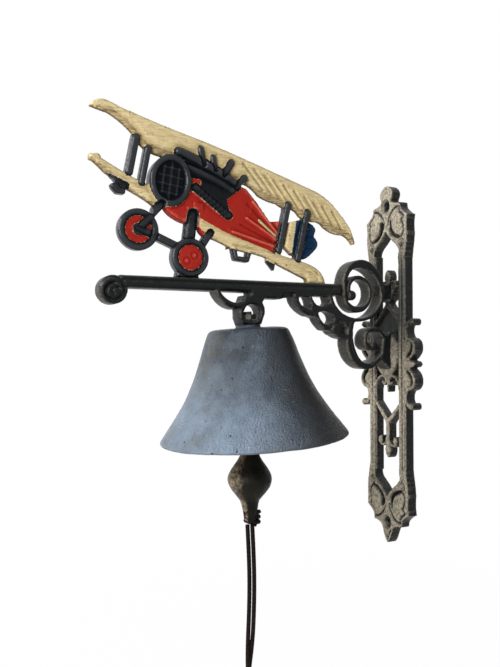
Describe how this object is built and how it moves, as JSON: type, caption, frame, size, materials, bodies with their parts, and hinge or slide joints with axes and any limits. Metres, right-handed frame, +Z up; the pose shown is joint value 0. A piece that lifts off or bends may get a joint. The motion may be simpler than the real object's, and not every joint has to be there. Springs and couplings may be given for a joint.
{
  "type": "wall-mounted hanging doorbell",
  "caption": "Cast-iron wall bell: tracery plate, scrolled bracket arm with painted relief aircraft, flared bell, hanging clapper with a lace pull",
  "frame": {"origin": "Midway between the two wall-screw holes, on the back face of the wall plate", "axes": "+Z up, +Y into the wall, +X across the plate; the arm stands out along -Y"},
  "size_m": [0.104, 0.188, 0.3318],
  "materials": {
    "black_casting": "semi-gloss black with tan dry-brushing",
    "painted_figure": "hand-painted, worn",
    "bell_iron": "dark blue-grey, pitted",
    "fixing_steel": "darkened steel",
    "clapper_iron": "black with rubbed edges",
    "leather_lace": "dark braided lace"
  },
  "bodies": {
    "bracket": {"wall_plate": "black_casting", "bracket_arm": "black_casting", "biplane_figure": "painted_figure", "bell": "bell_iron", "arm_screw_upper": "fixing_steel", "arm_screw_lower": "fixing_steel", "figure_screw_front": "fixing_steel", "figure_screw_rear": "fixing_steel", "eye_bolt": "fixing_steel", "loop_nut": "fixing_steel", "crown_washer": "fixing_steel", "crown_nut": "fixing_steel"},
    "link": {"clapper_link": "clapper_iron"},
    "clapper": {"clapper": "clapper_iron", "lace_hitch": "leather_lace", "lace_strand_left": "leather_lace", "lace_strand_right": "leather_lace", "lace_end_knot": "leather_lace"}
  },
  "joints": [
    {"name": "link_swing", "type": "hinge", "parent": "bracket", "child": "link", "pos_m": [0, -0.09771, 0.00209], "axis": [1, 0, 0], "range_deg": [-24, 28]},
    {"name": "clapper_swing", "type": "hinge", "parent": "link", "child": "clapper", "pos_m": [0, -0.09771, -0.01296], "axis": [0, 1, 0], "range_deg": [-32, 32]}
  ]
}
